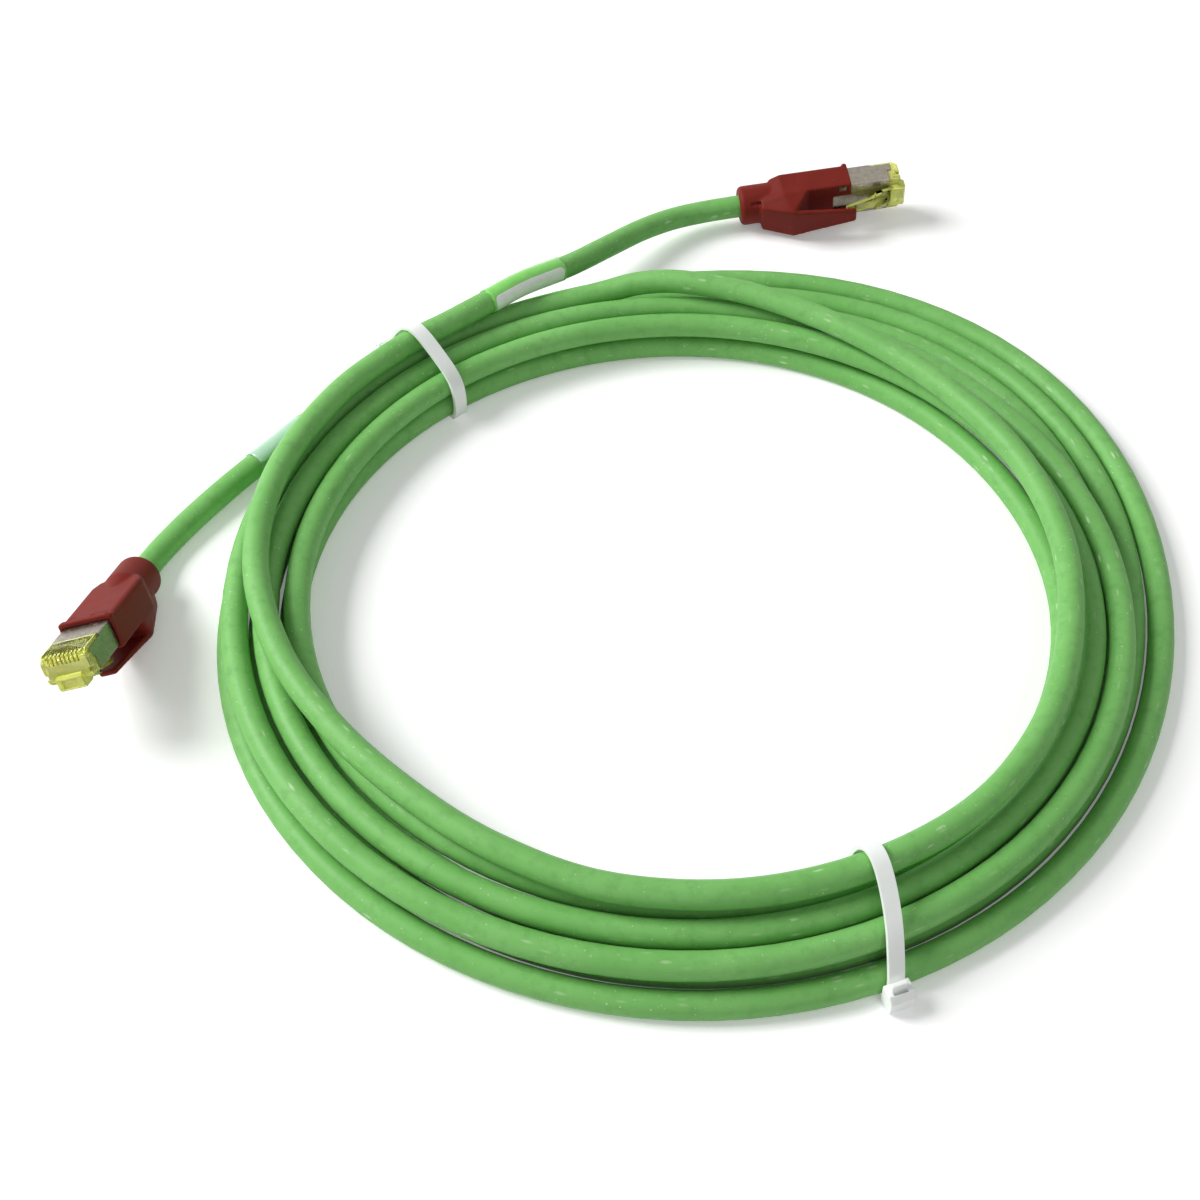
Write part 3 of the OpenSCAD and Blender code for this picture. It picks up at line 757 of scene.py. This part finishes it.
def boot_cuts(bm):
    """Everything that is hollow or open in the boot."""
    w, h, hole = PLUG_W / 2 + GAP, PLUG_H / 2 + GAP, 0.45
    rod(bm, -OVER, CORE_X, CORD_R + 0.15)                       # bore for the cord
    rod(bm, NECK_LEN + 2.6, SHIELD_X - 1, 3.55)                 # room for the clamp
    box(bm, (SHIELD_X - 2.2, BOOT_LEN + OVER), (-w, w), (-h, h))    # seat of the plug
    box(bm, (BOOT_LEN, BOOT_LEN + 4), (-9, 9), (-5, 9))         # cuts the lip straight
    box(bm, (BOOT_LEN - SLOT_LEN, BOOT_LEN + OVER), (-SLOT_W, SLOT_W),
        (-BOOT_HALF_H - 0.1, 0))                                # slot for the latch
    for side in (-1, 1):
        y = side * WINDOW_Y                                     # window for a tab
        box(bm, (WINDOW_X, WINDOW_X + 2.4), (y - TAB_HALF, y + TAB_HALF),
            (-BOOT_HALF_H - OVER, -1))
        y, z = side * NECK_R * sind(45), -NECK_R * cosd(45)     # grip hole in the neck
        box(bm, (3, 6), (y - hole, y + hole), (z - hole, z + hole))
    # Two hollows behind the lip's bead.
    pin(bm, (BOOT_LEN - 2.7, 2.9, BOOT_HALF_H + 0.7), 2.4, 1.1)
    pin(bm, (BOOT_LEN - 3, -4.6, BOOT_HALF_H + 0.8), 1.4, 1.2)


def add_boot(end, place, finish):
    name = f"boot_{end}_moulding"
    boot = moulded(solid(name, boot_shell, boot_guard), voxel=0.24, passes=14)
    boot = combine(boot, solid("rim", boot_rim), "UNION")
    boot = combine(boot, solid("cut", boot_cuts), "DIFFERENCE")
    boot = moulded(boot, voxel=0.2, passes=6)
    to_metres(boot, place)
    return dress(boot, finish, "boot", f"boot_{end}")


# ---- plugs ----

def pin_y(i):
    """Where contact i lies across the plug."""
    return (i - (PIN_COUNT - 1) / 2) * PIN_PITCH


def housing_body(bm):
    w, h = PLUG_W / 2 - SHIELD_T - GAP, PLUG_H / 2 - SHIELD_T - GAP
    box(bm, (BODY_X, NOSE_X - 0.9), (-w, w), (-h, h))


def housing_nose(bm):
    """The bare nose: full height where the shield leaves it free, sloping at its end."""
    w, h = PLUG_W / 2, PLUG_H / 2
    inset = w - SHIELD_T - GAP
    side_x, face_x = NOSE_X - NOSE_LEN + GAP, NOSE_X - FACE_LEN + GAP
    chin, slope_drop, slope_run, step = 0.5, 1.1, 1.3, 0.5
    outline = [(side_x, -h), (NOSE_X - chin, -h), (NOSE_X, -h + chin),
               (NOSE_X, h - slope_drop), (NOSE_X - slope_run, h), (face_x, h),
               (face_x, step), (side_x, step)]
    prism(bm, [(x, -inset, z) for x, z in outline], (0, 2 * inset, 0))


def housing_collar(bm):
    """Full-width band across the front, with its corners taken off."""
    w, h = PLUG_W / 2, PLUG_H / 2
    low, drop, run, under = 0.8, 1.6, 1.4, 0.15
    ring = [(-w, -h + low), (-w + low, -h), (w - low, -h), (w, -h + low),
            (w, h - drop), (w - run, h - under), (-w + run, h - under), (-w, h - drop)]
    prism(bm, [(NOSE_X - 2.2, y, z) for y, z in ring], (2.0, 0, 0))


def housing_lug(bm):
    """The block under the nose that carries the latch's root."""
    w, low = LATCH_W / 2, -LUG_LOW
    side = [(BEAD_X, -2.3), (BEAD_X, low), (NOSE_X + 0.6, low), (NOSE_X + 1.2, low + 0.6),
            (NOSE_X + 1.2, -1.9), (NOSE_X + 0.7, -1.4), (NOSE_X - 1, -1.4)]
    prism(bm, [(x, -w, z) for x, z in side], (0, 2 * w, 0))


def housing_cuts(bm):
    """Slots for the contacts, small pits beside them, side notches, the latch's seat."""
    top, slot_floor, bay, notch = PLUG_H / 2, 1.05, 0.14, 0.9
    start = NOSE_X - 0.7 - PIN_LEN - GAP
    wide = PIN_T / 2 + 0.06
    for y in map(pin_y, range(PIN_COUNT)):
        box(bm, (start, NOSE_X + OVER), (y - wide, y + wide), (slot_floor, top + OVER))
        box(bm, (start - 0.9, start - 0.3), (y - wide, y + wide), (top - 0.5, top + OVER))
    box(bm, (start + 1.6, NOSE_X - 2.6), (pin_y(0), pin_y(PIN_COUNT - 1)),
        (top - bay, top + OVER))
    for side in (-1, 1):
        y = side * (PLUG_W / 2 - 1.05)                      # round pits
        pin(bm, (NOSE_X - 1.1, y, top), 0.9, 0.36, axis="Z")
        pin(bm, (start - 0.4, y, top), 0.7, 0.34, axis="Z")
        y = side * PLUG_W / 2
        box(bm, (NOSE_X - 1.2, NOSE_X + OVER), (y - notch, y + notch), (-2.0, -0.9))
    pin(bm, (BEAD_X, 0, BEAD_Z), LATCH_W / 2 + OVER, BEAD_R + 0.05)
    box(bm, (NOSE_X + 0.85, NOSE_X + 2), (-1.9, 1.9), (-LUG_LOW + 0.7, -2.3))


def add_housing(end, place, finish):
    body = solid(f"plug_{end}_housing", housing_body)
    for part in (housing_nose, housing_collar, housing_lug):
        body = combine(body, solid("part", part), "UNION")
    body = combine(body, solid("cut", housing_cuts), "DIFFERENCE")
    body = crisp(body, width=0.1)
    to_metres(body, place)
    return dress(body, finish, "plug_plastic", f"housing_{end}")


def housing_web(bm):
    """The solid floor of the contact bay, over the wires."""
    box(bm, (NOSE_X - FACE_LEN + 0.3, NOSE_X - 1), (-4.7, 4.7), (1.2, 2.4))


def add_web(end, place, finish):
    web = crisp(solid(f"plug_{end}_web", housing_web), width=0.1)
    to_metres(web, place)
    return dress(web, finish, "plug_plastic", f"housing_{end}")


def latch_plate(bm):
    """Root, shoulders and finger tab, lying along -X from the hinge bead."""
    w, tab, t = LATCH_W / 2 - GAP, TAB_W / 2, LATCH_T / 2
    root, taper_x, taper_y = -LATCH_WIDE, -LATCH_WIDE - 1.4, 0.6
    outline = [(0.2, -w), (0.2, w), (root, w), (root, tab + taper_y), (taper_x, tab),
               (-LATCH_LEN, tab), (-LATCH_LEN, -tab), (taper_x, -tab),
               (root, -tab - taper_y), (root, -w)]
    prism(bm, [(x, y, -t) for x, y in outline], (0, 0, 2 * t))


def latch_ribs(bm):
    """Raised shoulders that catch in a jack, and grip ribs on the tab."""
    w, t = LATCH_W / 2 - GAP, LATCH_T / 2
    for side in (-1, 1):
        rib = [(-LATCH_WIDE + 0.02, -t - 0.35), (-LATCH_WIDE + 0.02, t - 0.1),
               (-0.9, t - 0.1), (-1.2, -t - 0.1)]
        y = side * (w - 0.62)
        prism(bm, [(x, y - 0.6, z) for x, z in rib], (0, 1.2, 0))
    for x in (-12.6, -11.7, -10.8):
        pin(bm, (x, 0, -t), TAB_W / 2 - 0.35, 0.2)


def latch_bead(bm):
    pin(bm, (0, 0, 0), LATCH_W / 2 - GAP, BEAD_R)


def add_latch(end, place, finish):
    latch = solid(f"plug_{end}_latch", latch_plate)
    for part in (latch_ribs, latch_bead):
        latch = combine(latch, solid("part", part), "UNION")
    latch = crisp(latch, width=0.12)
    turn = Matrix.Rotation(-math.radians(LATCH_RISE), 4, "Y")
    to_metres(latch, place @ Matrix.Translation((BEAD_X, 0, BEAD_Z)) @ turn)
    return dress(latch, finish, "plug_plastic", f"latch_{end}", body=f"latch_{end}")


def shield_sleeve(bm):
    """A folded sheet sleeve with rounded long edges, open at the front."""
    w, h = PLUG_W / 2, PLUG_H / 2
    box(bm, (SHIELD_X, NOSE_X - 0.8), (-w, w), (-h, h))
    long = [e for e in bm.edges if abs(e.verts[0].co.x - e.verts[1].co.x) > 1]
    bmesh.ops.bevel(bm, geom=long, offset=0.4, segments=4, profile=0.5, affect="EDGES",
                    material=-1)


def shield_inside(bm):
    w, h, t = PLUG_W / 2, PLUG_H / 2, SHIELD_T
    box(bm, (SHIELD_X + t, NOSE_X + OVER), (-w + t, w - t), (-h + t, h - t))


def shield_windows(bm):
    """Openings over the contacts and round the nose, and the way in for the pairs."""
    w, h, t = PLUG_W / 2, PLUG_H / 2, SHIELD_T
    end, side, top = NOSE_X + OVER, w + OVER, h + OVER      # all past the sleeve
    box(bm, (NOSE_X - NOSE_LEN, end), (-side, side), (-h - OVER, 0.2))
    box(bm, (NOSE_X - FACE_LEN, end), (-w + t, w - t), (1.2, top))
    box(bm, (NOSE_X - FACE_LEN, end), (-side, side), (h - 0.75, top))
    box(bm, (NOSE_X - NOSE_LEN + 1.3, end), (-side, side), (0, top))
    box(bm, (SHIELD_X - OVER, SHIELD_X + OVER), (-3.57, 3.57), (-1.6, 1.6))


def shield_tabs(bm):
    """Two tabs for the boot's windows, and two pressed dimples."""
    h, half = PLUG_H / 2, TAB_HALF - 0.06
    for side in (-1, 1):
        y = side * WINDOW_Y
        box(bm, (WINDOW_X + 0.1, WINDOW_X + 2.2), (y - half, y + half),
            (-h - 0.7, -h + 0.1))
        pin(bm, (BOOT_LEN + 1.3, side * 3.4, h), 0.16, 0.55, axis="Z")


def add_shield(end, place, finish):
    shield = solid(f"plug_{end}_shield", shield_sleeve)
    shield = combine(shield, solid("inside", shield_inside), "DIFFERENCE")
    shield = combine(shield, solid("windows", shield_windows), "DIFFERENCE")
    shield = combine(shield, solid("tabs", shield_tabs), "UNION")
    shield = crisp(shield, width=0.05, segments=1)
    to_metres(shield, place)
    return dress(shield, finish, "shield", f"shield_{end}")


# ---- cable ties ----

def crossings(line, angle):
    """Where a line crosses the upright plane at an angle: (out from the axis, height)."""
    c, s = cosd(angle), sind(angle)
    found = []
    for a, b in zip(line, line[1:]):
        u = (a.y - COIL_CENTRE.y) * c - (a.x - COIL_CENTRE.x) * s
        v = (b.y - COIL_CENTRE.y) * c - (b.x - COIL_CENTRE.x) * s
        if u > 0 >= v:
            p = a.lerp(b, u / (u - v))
            out = (p.x - COIL_CENTRE.x) * c + (p.y - COIL_CENTRE.y) * s
            if out > 0:
                found.append(Vector((out, p.z)))
    return found


def band(centres, radius, step=8):
    """Points of a band round circles whose centres go round the bundle in order."""
    count = len(centres)
    points = []
    for i, here in enumerate(centres):
        back, ahead = centres[i - 1], centres[(i + 1) % count]
        a0 = math.degrees(math.atan2(-(here - back).x, (here - back).y))
        a1 = math.degrees(math.atan2(-(ahead - here).x, (ahead - here).y))
        turn = (a1 - a0 + 720) % 360
        steps = max(1, math.ceil(turn / step))
        for j in range(steps + 1):
            a = a0 + turn * j / steps
            points.append(here + radius * Vector((cosd(a), sind(a))))
    return points


def neighbours(loop):
    """Each point of a closed loop, between the one before and the one after."""
    return zip(loop[-1:] + loop, loop, loop[1:] + loop[:1])


def bowed(loop, passes, ease_out):
    """A closed loop made rounder at its corners, then eased outwards all round."""
    loop = evenly(loop + loop[:1], 0.7)[:-1]
    for _ in range(passes):
        loop = [(a + 2 * b + c) / 4 for a, b, c in neighbours(loop)]
    eased = []
    for a, b, c in neighbours(loop):
        along = (c - a).normalized()
        eased.append(b + ease_out * Vector((along.y, -along.x)))
    return eased


def add_tie(end, angle, centres, finish, sideways):
    """A strap round the bundle, with its head and cut-off end on the outside."""
    outer = bowed(band(centres, CORD_R + TIE_GAP + STRAP_T), passes=26, ease_out=0.75)
    outer = [Vector((p.x, max(p.y, 0))) for p in outer]
    reach = max(p.x for p in outer)
    inner = min(p.x for p in outer)

    def shift(p):
        """How far the strap strays along the cord, from none at its head."""
        share, height = (reach - p.x) / (reach - inner), p.y
        over = sideways * sind(119 * share)     # greatest short of the inner end
        under = sideways * 0.87 * share         # straight, to where over ends
        return under + (over - under) * min(height / CORD_TOP, 1)

    def strap(bm):
        edge = [(p.x, shift(p) - STRAP_W / 2, p.y) for p in outer]
        edges = closed_loop(bm, edge)[1]
        moved_on(bm, bmesh.ops.extrude_edge_only(bm, edges=edges), (0, STRAP_W, 0))
        bmesh.ops.remove_doubles(bm, verts=bm.verts, dist=0.02)

    def head(bm):
        x0 = reach - STRAP_T
        shape = [(x0, 0), (x0 + HEAD_T - 0.9, 0), (x0 + HEAD_T, 1.2),
                 (x0 + HEAD_T, HEAD_H - 1.5), (x0 + HEAD_T - 1.3, HEAD_H), (x0, HEAD_H)]
        prism(bm, [(x, -HEAD_W / 2, z) for x, z in shape], (0, HEAD_W, 0))
        box(bm, (reach - 0.05, reach + STRAP_T - 0.05), (-STRAP_W / 2, STRAP_W / 2),
            (HEAD_H - 0.1, HEAD_H + STUB))

    def slot(bm):
        box(bm, (reach + STRAP_T + 0.15, reach + STRAP_T + 0.9), (-1.6, 1.6),
            (HEAD_H - 1.6, HEAD_H + 1))

    tie = solid(f"tie_{end}_strap", strap)
    wall = tie.modifiers.new("wall", "SOLIDIFY")
    wall.thickness = STRAP_T
    wall.offset = -1
    wall.use_even_offset = True
    tie = crisp(settled(tie), width=0.22)
    knob = combine(solid(f"tie_{end}_head", head), solid("slot", slot), "DIFFERENCE")
    knob = moulded(knob, voxel=0.13, passes=6)
    where = (Matrix.Translation((*COIL_CENTRE, 0))
             @ Matrix.Rotation(math.radians(angle), 4, "Z"))
    for piece in (tie, knob):
        to_metres(piece, where)
        dress(piece, finish, "tie_nylon", f"tie_{end}")


# ---- labels ----

def stretch(line, start, length, step=0.8):
    """A stretch of a line, from start to start + length along it."""
    even = evenly(line, step)
    return even[round(start / step):round((start + length) / step) + 1]


def add_label(end, line, start, length, finish):
    """A thin sleeve wrapped round a stretch of the cord."""
    label = sweep(f"label_{end}_wrap", stretch(line, start, length),
                  CORD_R + LABEL_GAP + LABEL_T)
    bm = bmesh.new()
    bm.from_mesh(label.data)
    caps = [f for f in bm.faces if len(f.verts) > 4]
    bmesh.ops.delete(bm, geom=caps, context="FACES_ONLY")
    bm.to_mesh(label.data)
    bm.free()
    wall = label.modifiers.new("wall", "SOLIDIFY")
    wall.thickness = LABEL_T
    wall.offset = -1
    label = settled(label)
    shade_smooth(label)
    to_metres(label)
    return dress(label, finish, f"label_{'paper' if end == 'b' else 'film'}", f"label_{end}")


# ---- put it together ----

boot_finish = boot_material()
plug_finish = clear_material("plug plastic", colour(252, 255, 146), colour(248, 254, 116),
                             through=0.52)
web_finish = clear_material("web plastic", colour(250, 254, 140), colour(244, 250, 112),
                            through=0.1)
shield_finish = metal_material("nickel shield", colour(160, 154, 142), colour(138, 132, 120),
                               0.26, 0.42)
tie_finish = tie_material()
INNER = {
    "contacts": metal_material("gold contact", colour(252, 226, 140), colour(244, 212, 118),
                               0.28, 0.4),
    "load_bar": clear_material("clear bar", colour(240, 244, 236), colour(226, 232, 222),
                               through=0.6),
    "clamp": metal_material("crimp clamp", colour(180, 176, 168), colour(150, 146, 138),
                            0.25, 0.4),
    "braid": metal_material("tinned braid", colour(170, 166, 158), colour(120, 116, 108),
                            0.3, 0.5),
    "foil": metal_material("pair foil", colour(214, 216, 220), colour(190, 192, 196),
                           0.12, 0.3),
    "pair_orange": wire_material("orange pair", colour(230, 120, 40)),
    "pair_green": wire_material("green pair", colour(50, 150, 70)),
    "pair_blue": wire_material("blue pair", colour(40, 90, 180)),
    "pair_brown": wire_material("brown pair", colour(120, 72, 44)),
}

for end, place in (("a", AT_A), ("b", AT_B)):
    boot = add_boot(end, place, boot_finish)
    housing = add_housing(end, place, plug_finish)
    web = add_web(end, place, web_finish)
    shield = add_shield(end, place, shield_finish)
    latch = add_latch(end, place, plug_finish)
    for inner, finish in INNER.items():
        coat(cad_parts[f"{inner}_{end}"].data, finish)

# Each strap goes round the turns at the outside of its bundle, named in order.
rear = crossings(coil_line, REAR_ANGLE)
rear_last = crossings(tail_b_line, REAR_ANGLE)[0]
add_tie("rear", REAR_ANGLE, [rear[3], rear[0], rear_last, rear[4]], tie_finish, REAR_STRAY)
front = crossings(coil_line, FRONT_ANGLE)
front_last = crossings(tail_b_line, FRONT_ANGLE)[0]
add_tie("front", FRONT_ANGLE, [front[2], front[0], front[5], front_last, front[3]],
        tie_finish, FRONT_STRAY)

paper_finish = label_material("paper label", colour(250, 253, 250), colour(132, 222, 98),
                              LABEL_B_LEN, edges=(0.28, 0.66), margin=0.9)
film_finish = label_material("film label", colour(178, 220, 190), colour(122, 182, 108),
                             LABEL_A_LEN, edges=(0.0, 0.3), margin=0.2)
add_label("b", tail_b_line, length_of(tail_b_line) - LABEL_B_AT, LABEL_B_LEN, paper_finish)
add_label("a", tail_a_line, LABEL_A_AT, LABEL_A_LEN, film_finish)


# ---- floor and lights ----

def seen_directly(tree):
    """1 for what the camera sees, also in metal and through plastic; 0 for light."""
    ray = node(tree, "LightPath").outputs
    mirrored = node(tree, "Math", {0: ray["Is Glossy Ray"], 1: ray["Is Transmission Ray"]},
                    operation="MAXIMUM").outputs[0]
    return node(tree, "Math", {0: ray["Is Camera Ray"], 1: mirrored},
                operation="MAXIMUM").outputs[0]


# The level of the world as light, and as what the camera sees; the floor's added glow.
WORLD_LIGHT, WORLD_SEEN, FLOOR_GLOW = 0.31, 0.95, 0.2


def add_floor():
    """A pale floor that shows nearly white and keeps the shadows."""
    bm = bmesh.new()
    bmesh.ops.create_grid(bm, x_segments=1, y_segments=1, size=3)
    mesh = bpy.data.meshes.new("floor")
    bm.to_mesh(mesh)
    bm.free()
    floor = link("floor", mesh)
    made, tree, shader = material("pale floor", Base_Color=(0.97, 0.97, 0.97), Roughness=0.7,
                                  Specular_IOR_Level=0.15, Emission_Color=(1, 1, 1))
    glow = node(tree, "Math", {0: seen_directly(tree), 1: FLOOR_GLOW},
                operation="MULTIPLY")
    tree.links.new(glow.outputs[0], shader.inputs["Emission Strength"])
    mesh.materials.append(made)


def add_light(name, place, size, power):
    """A square lamp that points at the middle of the floor."""
    lamp = bpy.data.lights.new(name, "AREA")
    lamp.size = size
    lamp.energy = power
    light = link(name, lamp)
    light.location = place
    light.rotation_euler = (-Vector(place)).to_track_quat("-Z", "Y").to_euler()


def add_world():
    """Even light from all round, behind a paler background."""
    world = bpy.data.worlds.new("studio")
    world.use_nodes = True
    tree = world.node_tree
    background = tree.nodes["Background"]
    background.inputs["Color"].default_value = (1, 1, 1, 1)
    level = node(tree, "MapRange", {"Value": seen_directly(tree),
                                    "To Min": WORLD_LIGHT, "To Max": WORLD_SEEN})
    tree.links.new(level.outputs["Result"], background.inputs["Strength"])
    bpy.context.scene.world = world


add_floor()
add_light("softbox left", (-1.4, 0.35, 1.2), size=0.9, power=37)
add_light("softbox front", (0.5, -1.3, 1.3), size=0.9, power=3)
add_world()
bpy.context.scene.view_settings.view_transform = "Standard"
